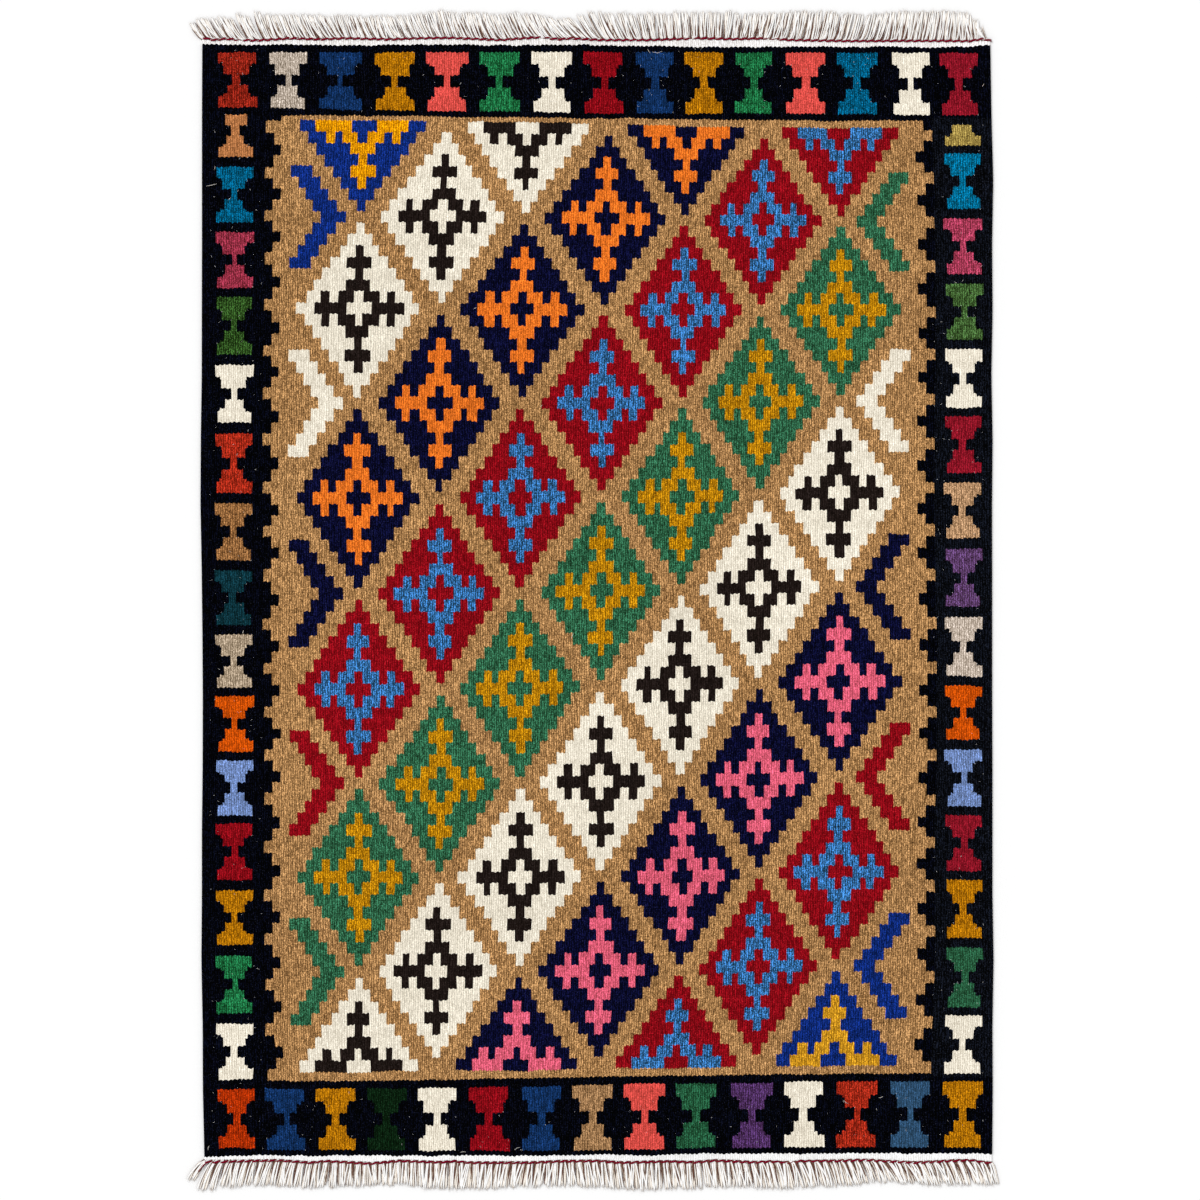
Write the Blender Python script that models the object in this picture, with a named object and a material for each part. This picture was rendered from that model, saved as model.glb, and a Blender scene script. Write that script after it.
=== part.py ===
"""A flat-woven wool kilim, lying flat, with a cotton fringe at both short ends.

Frame: metres, +Z up, +X across the rug, +Y along it. The rug lies on z = 0, and the origin is
under the middle of its box, fringes included.

Pieces: the cloth with its rounded selvedges and its two thinner cotton end bands; a fringe at each
end, which is a narrow strip with locks fused to it; and a twined yarn over each fringe's roots.
"""
import math
import random

import bmesh
import bpy
from mathutils import Vector

MM = 0.001

# Driving sizes (metres).
CLOTH_WIDTH = 1.050
CLOTH_LENGTH = 1.488
WOOL_THICK = 3.0 * MM
BAND_THICK = 2.2 * MM
BAND_WIDTH = {"north": 7.0 * MM, "south": 9.2 * MM}
STEP_WIDTH = 1.2 * MM
PIECE_GAP = 0.3 * MM

STRIP_WIDTH = 3.0 * MM
STRIP_THICK = 2.0 * MM
LOCK_COUNT = 100
LOCK_FILL = 0.72
LOCK_CROWN = 0.68
LOCK_SEED = {"north": 11, "south": 23}
LEAN_JITTER = 0.7 * MM
REACH_JITTER = 1.3 * MM

TWINE_RADIUS = 0.8 * MM
TWINE_STEP = 20.0 * MM
TWINE_WANDER = 0.35 * MM
TWINE_WAVES = 23

# Which way is outward along Y at each end.
OUTWARD = {"north": 1.0, "south": -1.0}

# Round of a selvedge, in millimetres: inset from the edge, height of the underside and of the top.
SELVEDGE = (
    ("inset", "under", "top"),
    (0.0, 1.6, 1.6),
    (0.5, 0.5, 2.8),
    (1.8, 0.0, 3.5),
    (4.5, 0.0, 3.5),
    (7.0, 0.0, 3.0),
)

# How far each long edge lies east of its straight line, in millimetres, from south to north.
SIDE_LINES = (
    ("along", "west", "east"),
    (-738, 3.2, 0.1),
    (-651, 1.2, 0.9),
    (-565, 0.9, 0.5),
    (-478, -0.8, 2.0),
    (-392, -0.1, 0.5),
    (-306, -0.1, 0.5),
    (-219, 0.9, 0.5),
    (-133, 1.1, 0.1),
    (-47, 0.6, 0.1),
    (40, -0.4, 0.1),
    (126, -2.0, -0.1),
    (213, -1.6, 0.7),
    (299, -0.3, -0.9),
    (385, -0.2, 0.7),
    (472, 0.0, 0.0),
    (558, 0.0, 1.6),
    (645, 0.0, -0.8),
    (731, 0.4, -2.3),
)

# How far each short edge lies outside its straight line, in millimetres, from west to east.
END_LINES = (
    ("across", "north", "south"),
    (-525, 1.0, -0.3),
    (-470, -1.0, -0.5),
    (-425, 0.2, -1.4),
    (-380, 0.5, 1.6),
    (-335, 1.6, 0.8),
    (-300, 0.7, 2.6),
    (-262, 0.6, -0.8),
    (-215, 1.9, 0.9),
    (-170, 1.0, 1.5),
    (-129, -0.8, 1.6),
    (-80, 2.6, 1.4),
    (-45, 0.4, -0.4),
    (0, -0.7, -0.8),
    (35, -0.8, 1.5),
    (80, -0.6, 0.2),
    (130, 1.4, 1.1),
    (160, 0.9, -1.2),
    (210, 0.8, 1.1),
    (260, -0.8, 1.2),
    (350, -2.3, -2.0),
    (423, -1.9, 1.6),
    (480, -2.0, -1.2),
    (525, -1.0, 2.0),
)

# How the locks lie, in millimetres: root, how far the tip lies east of it, how far it reaches out.
FRINGE_LIE = {
    "north": (
        ("across", "lean", "reach"),
        (-525, -17, 14),
        (-508, -18, 24),
        (-461, -16, 27),
        (-435, -12, 31),
        (-342, -15, 28),
        (-326, -8, 28),
        (-235, -11, 28),
        (-189, -8, 34),
        (-129, -11, 32),
        (-49, -13, 28),
        (-9, -20, 24),
        (11, -11, 34),
        (70, -5, 32),
        (137, 0, 32),
        (217, 5, 32),
        (270, 4, 36),
        (350, 8, 32),
        (403, 5, 36),
        (469, 3, 36),
        (502, 0, 33),
        (522, -5, 27),
    ),
    "south": (
        ("across", "lean", "reach"),
        (-525, -17, 18),
        (-514, -11, 36),
        (-494, -7, 35),
        (-448, -4, 31),
        (-395, -5, 32),
        (-342, 0, 32),
        (-288, 1, 28),
        (-222, -1, 33),
        (-129, -4, 32),
        (-76, -3, 31),
        (4, 1, 33),
        (70, 1, 36),
        (137, 1, 33),
        (217, 4, 33),
        (310, 7, 31),
        (376, 11, 27),
        (443, 9, 28),
        (482, 11, 30),
        (525, 15, 30),
    ),
}

# A lock's rings from its root to its tip: share of its reach, share of its width, height in mm.
LOCK_RINGS = (
    ("share", "width", "height"),
    (0.35, 1.05, 2.6),
    (0.72, 1.0, 2.4),
    (1.0, 0.72, 1.5),
)

# Colour and roughness of each material, as the photo shows them.
FINISHES = {
    "wool": ((0.012, 0.014, 0.026, 1.0), 0.92),
    "cotton": ((0.80, 0.76, 0.68, 1.0), 0.88),
    "twining_yarn": ((0.23, 0.008, 0.024, 1.0), 0.82),
}


def clear_scene():
    for obj in list(bpy.data.objects):
        bpy.data.objects.remove(obj, do_unlink=True)


def finish(name):
    """A plain material from the FINISHES table."""
    colour, roughness = FINISHES[name]
    material = bpy.data.materials.new(name)
    material.use_nodes = True
    shader = material.node_tree.nodes["Principled BSDF"]
    shader.inputs["Base Color"].default_value = colour
    shader.inputs["Roughness"].default_value = roughness
    shader.inputs["Metallic"].default_value = 0.0
    return material


def read(table, key, column, at):
    """The value of a table's column, read between its rows at a value of its key column."""
    names = table[0]
    key_index = names.index(key)
    value_index = names.index(column)
    rows = table[1:]
    if at <= rows[0][key_index]:
        return rows[0][value_index]
    for low, high in zip(rows, rows[1:]):
        if at <= high[key_index]:
            share = (at - low[key_index]) / (high[key_index] - low[key_index])
            return low[value_index] + share * (high[value_index] - low[value_index])
    return rows[-1][value_index]


def side_x(side, y):
    """Where a long edge of the cloth lies at a height y."""
    straight = CLOTH_WIDTH / 2 if side == "east" else -CLOTH_WIDTH / 2
    return straight + read(SIDE_LINES, "along", side, y / MM) * MM


def end_y(end, x, outside=0.0):
    """Where a line parallel to a short edge of the cloth lies, a distance outside that edge."""
    out = CLOTH_LENGTH / 2 + read(END_LINES, "across", end, x / MM) * MM + outside
    return OUTWARD[end] * out


def make_object(name, mesh_data, material):
    """Turn a bmesh into a named object with one material."""
    bmesh.ops.remove_doubles(mesh_data, verts=mesh_data.verts, dist=1e-6)
    bmesh.ops.recalc_face_normals(mesh_data, faces=mesh_data.faces)
    mesh = bpy.data.meshes.new(name)
    mesh_data.to_mesh(mesh)
    mesh_data.free()
    mesh.materials.append(material)
    obj = bpy.data.objects.new(name, mesh)
    bpy.context.collection.objects.link(obj)
    return obj


def cloth_columns(y):
    """The cloth's section at a height y: x, and the heights of its underside and its top."""
    west, east = side_x("west", y), side_x("east", y)
    flat = SELVEDGE[-1]
    round_part = SELVEDGE[1:]
    columns = [(west + inset * MM, under * MM, top * MM) for inset, under, top in round_part]
    for across, _, _ in END_LINES[2:-1]:
        columns.append((across * MM, flat[1] * MM, flat[2] * MM))
    for inset, under, top in reversed(round_part):
        columns.append((east - inset * MM, under * MM, top * MM))
    return columns


def cloth_rows():
    """The cloth's cross rows from south to north, as (y of a point at x, thickness)."""
    def end_row(end, inset, thickness):
        return lambda x: end_y(end, x, -inset), thickness

    def straight_row(y):
        return lambda x: y, WOOL_THICK

    south_band, north_band = BAND_WIDTH["south"], BAND_WIDTH["north"]
    rows = [
        end_row("south", 0.0, BAND_THICK),
        end_row("south", south_band, BAND_THICK),
        end_row("south", south_band + STEP_WIDTH, WOOL_THICK),
    ]
    rows += [straight_row(along * MM) for along, _, _ in SIDE_LINES[2:-1]]
    rows += [
        end_row("north", north_band + STEP_WIDTH, WOOL_THICK),
        end_row("north", north_band, BAND_THICK),
        end_row("north", 0.0, BAND_THICK),
    ]
    return rows


def build_cloth():
    """One flat sheet: its underside on z = 0, round selvedges, and thinner bands at both ends."""
    solid = bmesh.new()
    under_rows, top_rows = [], []
    for place, thickness in cloth_rows():
        columns = cloth_columns(place(0.0))
        scale = thickness / WOOL_THICK
        under_rows.append([solid.verts.new((x, place(x), under * scale)) for x, under, _ in columns])
        top_rows.append([solid.verts.new((x, place(x), top * scale)) for x, _, top in columns])
    for near, far in ((0, 1), (-1, -2)):
        under, top = under_rows[near], top_rows[near]
        for i in range(len(top) - 1):
            solid.faces.new((under[i], under[i + 1], top[i + 1], top[i]))
    for rows in (under_rows, top_rows):
        for low, high in zip(rows, rows[1:]):
            for i in range(len(low) - 1):
                solid.faces.new((low[i], low[i + 1], high[i + 1], high[i]))
    return make_object("kilim_body", solid, finish("wool"))


def lock_lies(end, west, pitch):
    """Each lock's root, lean and reach, from the table and a little seeded unevenness."""
    dice = random.Random(LOCK_SEED[end])
    table = FRINGE_LIE[end]
    lies = []
    for index in range(LOCK_COUNT):
        root = west + (index + 0.5) * pitch
        lean = read(table, "across", "lean", root / MM) * MM + dice.uniform(-1, 1) * LEAN_JITTER
        reach = read(table, "across", "reach", root / MM) * MM + dice.uniform(-1, 1) * REACH_JITTER
        lies.append((root, lean, reach))
    return lies


def lock_widths(lies, share, pitch):
    """Each lock's width at a share of its reach: a part of the room between its neighbours."""
    places = [root + lean * share for root, lean, _ in lies]
    rooms = [after - before for before, after in zip(places, places[1:])]
    widths = []
    for index in range(len(places)):
        beside = rooms[max(index - 1, 0):index + 1]
        widths.append(LOCK_FILL * min(pitch, *beside))
    return widths


def build_fringe(end):
    """A narrow strip along the cloth's end, with its locks growing out of its outer face."""
    corner = end_y(end, 0.0)
    west, east = side_x("west", corner), side_x("east", corner)
    pitch = (east - west) / LOCK_COUNT
    lies = lock_lies(end, west, pitch)
    roots = []
    for root, _, _ in lies:
        roots += [root - LOCK_FILL * pitch / 2, root + LOCK_FILL * pitch / 2]
    stations = [west, *roots, east]

    solid = bmesh.new()
    inner, outer = [], []
    for x in stations:
        for line, outside in ((inner, PIECE_GAP), (outer, PIECE_GAP + STRIP_WIDTH)):
            y = end_y(end, x, outside)
            line.append((solid.verts.new((x, y, 0.0)), solid.verts.new((x, y, STRIP_THICK))))
    for i in range(len(stations) - 1):
        near, far = (inner[i], inner[i + 1]), (outer[i], outer[i + 1])
        solid.faces.new((near[0][0], near[1][0], near[1][1], near[0][1]))
        for level in (0, 1):
            solid.faces.new((near[0][level], near[1][level], far[1][level], far[0][level]))
        if i % 2 == 0:
            solid.faces.new((far[0][0], far[1][0], far[1][1], far[0][1]))
    for i in (0, -1):
        solid.faces.new((inner[i][0], inner[i][1], outer[i][1], outer[i][0]))

    ring_table = LOCK_RINGS[1:]
    ring_widths = [lock_widths(lies, share, pitch) for share, _, _ in ring_table]
    for index, (root, lean, reach) in enumerate(lies):
        left, right = outer[2 * index + 1], outer[2 * index + 2]
        ring = [left[0], right[0], right[1], left[1]]
        foot = end_y(end, root, PIECE_GAP + STRIP_WIDTH)
        for (share, swell, height), widths in zip(ring_table, ring_widths):
            x = root + lean * share
            y = foot + OUTWARD[end] * reach * share
            half = widths[index] * swell / 2
            corners = (
                (x - half, y, 0.0),
                (x + half, y, 0.0),
                (x + half * LOCK_CROWN, y, height * MM),
                (x - half * LOCK_CROWN, y, height * MM),
            )
            new_ring = [solid.verts.new(point) for point in corners]
            for side in range(4):
                turn = (side + 1) % 4
                solid.faces.new((ring[side], ring[turn], new_ring[turn], new_ring[side]))
            ring = new_ring
        solid.faces.new(ring)
    return make_object(f"end_fringe_{end}", solid, finish("cotton"))


def build_twining(end):
    """The twined yarn that lies along the strip, over the roots of the locks."""
    corner = end_y(end, 0.0)
    west = side_x("west", corner) + TWINE_RADIUS
    east = side_x("east", corner) - TWINE_RADIUS
    height = STRIP_THICK + PIECE_GAP + TWINE_RADIUS
    count = round((east - west) / TWINE_STEP)
    path = bpy.data.curves.new(f"twining_{end}", "CURVE")
    path.dimensions = "3D"
    path.bevel_depth = TWINE_RADIUS
    path.bevel_resolution = 1
    path.use_fill_caps = True
    spline = path.splines.new("POLY")
    spline.points.add(count)
    for index in range(count + 1):
        x = west + (east - west) * index / count
        wander = TWINE_WANDER * math.sin(TWINE_WAVES * 2 * math.pi * index / count)
        y = end_y(end, x, PIECE_GAP + STRIP_WIDTH / 2 + wander)
        spline.points[index].co = (x, y, height, 1.0)
    path.materials.append(finish("twining_yarn"))
    obj = bpy.data.objects.new(f"twining_{end}", path)
    bpy.context.collection.objects.link(obj)
    return obj


def centre_on_origin(objects):
    """Move all the pieces together, so that the middle of their box is over the origin."""
    bpy.context.view_layer.update()
    corners = [obj.matrix_world @ Vector(corner) for obj in objects for corner in obj.bound_box]
    for axis in (0, 1):
        reach = [corner[axis] for corner in corners]
        middle = (min(reach) + max(reach)) / 2
        for obj in objects:
            obj.location[axis] -= middle


def main():
    clear_scene()
    pieces = [build_cloth()]
    for end in ("north", "south"):
        pieces += [build_fringe(end), build_twining(end)]
    centre_on_origin(pieces)


main()
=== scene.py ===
"""A flat-woven wool kilim on a pale floor, seen from straight above.

The cloth is woven here rib by rib. Its faces follow the edges of the woven pattern, and each face
carries its own dye. The cotton fringes and the crimson twining are separate yarns.

Tables are in millimetres, in the cloth's own frame: x across to the right and y up the rug, from
the middle of the cloth. A warp number counts half ribs from the west edge to the east edge.
"""

import math
import random

import bpy
import numpy as np
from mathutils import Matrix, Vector


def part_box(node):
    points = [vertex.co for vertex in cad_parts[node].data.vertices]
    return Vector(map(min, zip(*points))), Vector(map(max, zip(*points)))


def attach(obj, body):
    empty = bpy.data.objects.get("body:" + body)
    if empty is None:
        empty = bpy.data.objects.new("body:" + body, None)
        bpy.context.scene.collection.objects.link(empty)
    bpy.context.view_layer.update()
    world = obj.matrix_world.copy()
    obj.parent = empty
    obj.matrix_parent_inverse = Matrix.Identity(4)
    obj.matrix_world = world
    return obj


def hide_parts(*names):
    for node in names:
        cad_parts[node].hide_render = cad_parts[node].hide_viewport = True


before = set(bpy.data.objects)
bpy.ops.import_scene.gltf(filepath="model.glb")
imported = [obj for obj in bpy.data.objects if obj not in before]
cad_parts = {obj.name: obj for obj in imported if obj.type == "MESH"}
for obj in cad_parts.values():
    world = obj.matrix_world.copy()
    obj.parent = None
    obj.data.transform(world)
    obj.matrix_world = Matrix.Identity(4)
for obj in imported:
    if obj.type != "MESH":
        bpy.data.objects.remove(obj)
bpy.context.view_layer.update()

MM = 0.001
HOME = sum(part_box("kilim_body"), Vector()) / 2

# The camera looks straight down from far off. Its view and height, and the floor, are in metres.
VIEW_WIDTH = 1.595
VIEW_MIDDLE_X = 4.0
CAMERA_HEIGHT = 8.0
SENSOR = 36.0
FLOOR_SIZE = 60.0
FLOOR_DROP = 0.3

# Half ribs of the cloth, and the warps at which the side ornaments and the teeth begin and end.
WARPS = 688
SIDE_ORNAMENT = {"west": 13, "east": 648}
TEETH = {"west": (55, 62, 69), "east": (639, 631, 624)}
# The warp at which the field's cell number 0 begins, and a cell's width in warps.
FIELD_CELL = 133
CELL_WARPS = 7

# Heights in mm: a rib's crest, the valley between two ribs, and the first half ribs of a selvedge.
CREST = 3.0
VALLEY = 2.4
SELVEDGE_ROLL = (1.6, 3.3, 3.5, 3.3, 2.5)
# Extra warps round each edge: place in half ribs, inset from the edge and height in mm.
EDGE_WARPS = ((-2.0, 1.8, 0.0), (-1.0, 0.5, 0.5), (0.35, 0.45, 2.7))
# The ripples of the warps fade over the last few half ribs.
EDGE_FADE = 8
# How far the crests of neighbouring ribs stagger.
SCALLOP = 0.75
# How far, in half ribs, the edge of a cell or of an ornament's row may slip.
SLIPS = (-1, 0, 0, 0, 0, 1)
FIELD_SEED = 41
# Half the width of the back, and the span of the map for the bake.
BACK_HALF_WIDTH = 523
BAKE_SPAN = 1600

# The cotton band meets the wool along these lines: x and y.
BAND_LINES = {
    "north": (
        (-512, 737.7), (-330, 736.8), (-190, 737.8), (-100, 736.5), (-15, 737.3), (60, 735.2),
        (190, 734.3), (310, 735.1), (400, 734.2), (490, 734.1), (520, 737.0),
    ),
    "south": (
        (-515, -739.3), (-450, -737.8), (-250, -737.5), (-100, -737.8), (-15, -737.5),
        (15, -736.2), (73, -738.2), (102, -735.9), (219, -734.6), (278, -735.2), (365, -734.1),
        (430, -735.0), (515, -735.0),
    ),
}
# Width of the step down to the band, and the band's height as a share of the wool's.
BAND_STEP = 1.2
BAND_LIFT = 0.85
OUTWARD = {"north": 1, "south": -1}
# The cloth ends somewhere past this line.
END_FROM = 740.5

# Some warps of the borders, by the way that they drift: number and x.
BORDER_WARPS = {
    "west_border": ((13, -506), (45, -457)),
    "west_teeth": ((55, -442), (62, -431), (69, -421)),
    "east_teeth": ((624, 427), (631, 438), (639, 450)),
    "east_border": ((648, 464), (680, 513)),
}
# How far those warps stray across the rug, at some heights.
DRIFTS = {
    "west_border": (
        (730, 0.5), (618, 1.7), (538, 0), (300, -0.4), (182, -1.2), (3, -1.6), (-120, 0),
        (-250, 0.7), (-380, -0.4), (-600, 0.4),
    ),
    "west_teeth": (
        (629, 2), (511, 0.3), (392, 0), (332, -1.4), (150, -2.4), (91, -1.2), (-32, -2),
        (-149, 0), (-206, 1), (-264, 0), (-451, 0), (-511, 1.9), (-571, 2.1), (-631, 5.4),
    ),
    "east_teeth": (
        (728, -7), (617, -4.5), (561, -2.7), (502, -1), (326, 0.2), (208, -1.9), (93, -1.6),
        (-30, 1), (-206, 1), (-322, -1.6), (-380, -1.7), (-440, -0.5), (-501, -2.3),
        (-561, -4.4), (-621, -6.6),
    ),
    "east_border": (
        (728, -6), (618, -3), (470, -1), (383, 0), (260, -1.6), (118, -2), (30, 0),
        (-150, -1.4), (-411, -0.7), (-502, 0.8), (-590, -2.4),
    ),
}

# Lines that cross the rug: x and y.
LINES = {
    "north_top": ((-478, 727.6), (10, 728), (481, 726.6)),
    "north_foot": (
        (-478, 655), (-268, 650.4), (-130, 649.6), (10, 646.4), (277, 646.8), (481, 644),
    ),
    "north_join": ((-317, 649), (3, 644.4), (322, 640.6)),
    "south_join": ((-317, -643.5), (3, -638.5), (322, -634)),
    "south_top": (
        (-479, -650), (-213, -648.4), (-75, -646.6), (62, -642.7), (205, -642.2), (274, -639.6),
        (486, -639.8),
    ),
    "south_foot": (
        (-479, -728.5), (-413, -730.4), (-75, -731.5), (62, -730.4), (132, -728.1), (344, -726.6),
        (486, -727.3),
    ),
    "field_top": ((-317, 643.7), (3, 639.7), (322, 636.7)),
    "field_foot": ((-317, -638.9), (3, -633.5), (322, -629.1)),
}

# Middles of the diamonds in each tier, by file. The first and last tiers place every file.
MIDDLES = (
    {0: (-310, 630), 1: (-199, 628.5), 2: (-92.5, 627), 3: (15.5, 624.5), 4: (118.5, 621.5),
     5: (222, 620.5), 6: (322.5, 619.5)},
    {1: (-205.5, 511), 3: (13, 508.5), 5: (220, 506)},
    {0: (-318, 388), 2: (-100, 387), 4: (115, 386.5), 6: (323.5, 386)},
    {1: (-209.5, 262), 3: (6.5, 261.5), 5: (216, 263.5)},
    {0: (-318.5, 135.5), 2: (-101.5, 136), 4: (112.5, 137), 6: (322, 143.5)},
    {1: (-208.5, 8.5), 3: (5.5, 13.5), 5: (215, 17)},
    {0: (-317, -119), 2: (-103, -117.5), 4: (109.5, -111), 6: (321, -108)},
    {1: (-207, -245.5), 3: (5, -241.5), 5: (214.5, -238.5)},
    {0: (-316.5, -368), 2: (-102, -368.5), 4: (114.5, -368.5), 6: (321.5, -361)},
    {1: (-213.5, -493), 3: (4.5, -492.5), 5: (215, -486.5)},
    {0: (-316.5, -620), 1: (-213.5, -616.5), 2: (-107.5, -618), 3: (0.5, -615), 4: (104.5, -614.5),
     5: (211, -612), 6: (314, -611)},
)
# Rows of cells from tier to tier, a row's height past the last, cells from file to file, the
# number of files, and the cells beside them.
TIER_ROWS = 8
ROW_HEIGHT = 15.5
FILE_CELLS = 10
FILES = 7
SIDE_CELLS = 10

# Dyes: colour as it lies on the rug, and how strongly its yarn is heathered.
DYES = {
    "black": ("#050713", 1.00), "charcoal": ("#0e1119", 0.80), "cream": ("#f4f1ef", 0.10),
    # The south band's cotton below is the cream painted lighter: a painted highlight against the
    # shade that its slope takes.
    "cream_with_painted_light": ("#ffffff", 0.06), "camel": ("#ad8151", 0.38), "royal": ("#0f2b78", 0.35),
    "yellow": ("#e39503", 0.28), "ivory": ("#ede4d1", 0.11), "umber": ("#1f1714", 0.34),
    "navy": ("#0a0c2d", 0.55), "orange": ("#e77323", 0.22), "crimson": ("#8a0a15", 0.30),
    "sky": ("#3974ae", 0.55), "green": ("#306748", 0.45), "gold": ("#bc810a", 0.34),
    "pink": ("#e05f77", 0.23), "straw": ("#d19620", 0.28), "brick": ("#a82a17", 0.38),
    "dark_brick": ("#8f2214", 0.42), "stone": ("#baab9b", 0.27), "indigo": ("#11305d", 0.34),
    "ochre": ("#b17106", 0.30), "coral": ("#d94e46", 0.20), "emerald": ("#1e7040", 0.46),
    "teal": ("#015c80", 0.44), "bright_teal": ("#016f97", 0.38), "claret": ("#8a1424", 0.28),
    "vermilion": ("#b03004", 0.30), "bottle": ("#0a210e", 0.40), "fawn": ("#a57d54", 0.34),
    "cinnamon": ("#98693d", 0.40), "sand": ("#b58d67", 0.32), "pine": ("#255c3d", 0.40),
    "purple": ("#523263", 0.42), "pale_purple": ("#61416d", 0.42), "slate": ("#2e4e6c", 0.25),
    "tan": ("#b27344", 0.24), "raspberry": ("#993145", 0.36), "rose": ("#b03f5b", 0.36),
    "moss": ("#345823", 0.62), "petrol": ("#0c323b", 0.35), "flint": ("#af9b82", 0.29),
    "rust": ("#ca4e05", 0.24), "lavender": ("#7088ba", 0.25), "forest": ("#295d3f", 0.36),
    "olive": ("#a8904a", 0.33), "sage": ("#466835", 0.48), "mauve_stone": ("#c5b5a5", 0.24),
}

# Ground and figure of the diamonds, by the diagonal that they stand on.
DIAMONDS = (
    ("royal", "yellow"), ("ivory", "umber"), ("navy", "orange"), ("crimson", "sky"),
    ("green", "gold"), ("ivory", "umber"), ("navy", "pink"), ("crimson", "sky"), ("royal", "straw"),
)
# Cells of the figure in a row of a diamond, by the row's distance from the middle.
FIGURE = {0: (2, 3, 4, 5), 1: (1, 2, 4), 2: (0, 1), 3: (0,), 4: (0, 1), 5: (0,)}
# Half ribs by which a side chevron lies east of the lattice, and its width, by the same distance.
CHEVRONS = {
    "west": ((5, 21), (4, 20), (4, 19), (4, 18), (4, 18)),
    "east": ((-3, 18),) * 5,
}

# Rows of an hourglass: share of its height, what its half width loses in an end border (its neck
# has its own), and where it begins and ends in a side border, in half ribs.
ORNAMENT_ROWS = (
    (0.20, 0, (0, 32)), (0.05, 7.4, (4, 27)), (0.15, 10.2, (6, 25)), (0.20, None, (13, 18)),
    (0.16, 11.7, (7, 24)), (0.05, 8.6, (5, 27)), (0.19, 0.8, (1, 31)),
)
NECK = 4.7
# Middle, half width and dye of the ornaments at the ends.
END_ORNAMENTS = {
    "north": (
        (-478, 25.6, "dark_brick"), (-410.5, 25.3, "stone"), (-341, 29, "indigo"),
        (-268.5, 27.2, "ochre"), (-199, 28.1, "coral"), (-129.5, 26.8, "emerald"),
        (-60, 26.2, "ivory"), (10, 26.3, "crimson"), (77.5, 25.2, "indigo"), (142.5, 25.8, "ochre"),
        (207.5, 24, "emerald"), (277.5, 26.2, "coral"), (346, 27.4, "teal"), (416.5, 25.1, "ivory"),
        (481.5, 25.3, "claret"),
    ),
    "south": (
        (-479, 25.1, "vermilion"), (-413, 25.8, "indigo"), (-346, 24.8, "ochre"),
        (-280, 25.9, "bottle"), (-213, 25.9, "ivory"), (-144, 27, "crimson"),
        (-74.5, 26.8, "indigo"), (-6, 26, "fawn"), (62.5, 27.1, "coral"), (132, 27.4, "pine"),
        (205.5, 27.3, "purple"), (274, 25.7, "ivory"), (344.5, 26.3, "brick"),
        (416, 25.5, "slate"), (486.5, 26.4, "ochre"),
    ),
}
# Top, foot and dye of the ornaments at the sides.
SIDE_ORNAMENTS = {
    "west": (
        (645, 589, "tan"), (575, 502, "teal"), (489, 415, "raspberry"), (403, 326, "moss"),
        (312, 236, "ivory"), (221, 142, "brick"), (128, 53, "cinnamon"), (39, -33, "petrol"),
        (-46, -116, "flint"), (-128, -201, "rust"), (-213, -286, "lavender"),
        (-297, -372, "crimson"), (-386, -458, "ochre"), (-473, -549, "emerald"),
        (-563, -637, "ivory"),
    ),
    "east": (
        (631, 604, "olive"), (593, 520, "bright_teal"), (507, 433, "rose"), (420, 346, "sage"),
        (333, 256, "ivory"), (244, 169, "claret"), (156, 82, "sand"), (68, -9, "pale_purple"),
        (-23, -101, "mauve_stone"), (-114, -185, "rust"), (-199, -274, "lavender"),
        (-286, -360, "claret"), (-372, -449, "ochre"), (-462, -541, "forest"),
        (-552, -629, "ivory"),
    ),
}
# The topmost side ornaments are cut short by the border above them.
FIRST_ROWS = {"west": ((0.20, 10.2, (6, 25)), *ORNAMENT_ROWS[3:]), "east": ORNAMENT_ROWS[4:]}

# Middles of the camel teeth that the field cuts into the side borders.
TOOTH_PLACES = {
    "west": (
        629, 568, 511, 454, 392, 332, 274, 213, 150, 91, 33, -32, -91, -149, -206, -264, -328,
        -392, -451, -511, -571, -631,
    ),
    "east": (
        617, 561, 502, 443, 383, 326, 267, 208, 149, 93, 33, -30, -90, -149, -206, -266, -322,
        -380, -440, -501, -561, -621,
    ),
}

# The red line of the twining along each end: x and y.
TWINING_LINES = {
    "north": (
        (-521, 746.4), (-508, 744), (-494, 745.7), (-474, 744), (-455, 743.3), (-428, 744.8),
        (-408, 746.4), (-368, 744.8), (-335, 746.4), (-275, 744.8), (-235, 746.4), (-195, 746.9),
        (-155, 745.2), (-129, 744), (-102, 746), (-76, 747.7), (-49, 744.8), (-36, 746.4),
        (4, 744), (70, 744), (137, 746.4), (177, 745.2), (223, 746.2), (256, 744), (336, 742.6),
        (403, 742.9), (469, 742.9), (494, 742.4), (512, 745.6), (526, 742.5),
    ),
    "south": (
        (-521, -745.9), (-508, -747), (-461, -745.4), (-421, -744.8), (-381, -747.8),
        (-361, -745.4), (-302, -749), (-262, -745.4), (-209, -747.3), (-189, -745.6),
        (-169, -747.8), (-89, -747.8), (-49, -745.9), (4, -745.4), (31, -747.8), (97, -745.9),
        (130, -747.3), (157, -744.9), (210, -747.3), (230, -745.9), (256, -747.8), (270, -745.4),
        (323, -745.4), (356, -744.2), (423, -747.8), (469, -745.4), (496, -744.2), (522, -748.2),
    ),
}
# The free end of the twining at the south-west corner.
TWINING_TAIL = ((-516, -746, 3.3), (-523, -751, 3.2), (-530, -759, 2.9), (-537, -766, 2.0))

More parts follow.
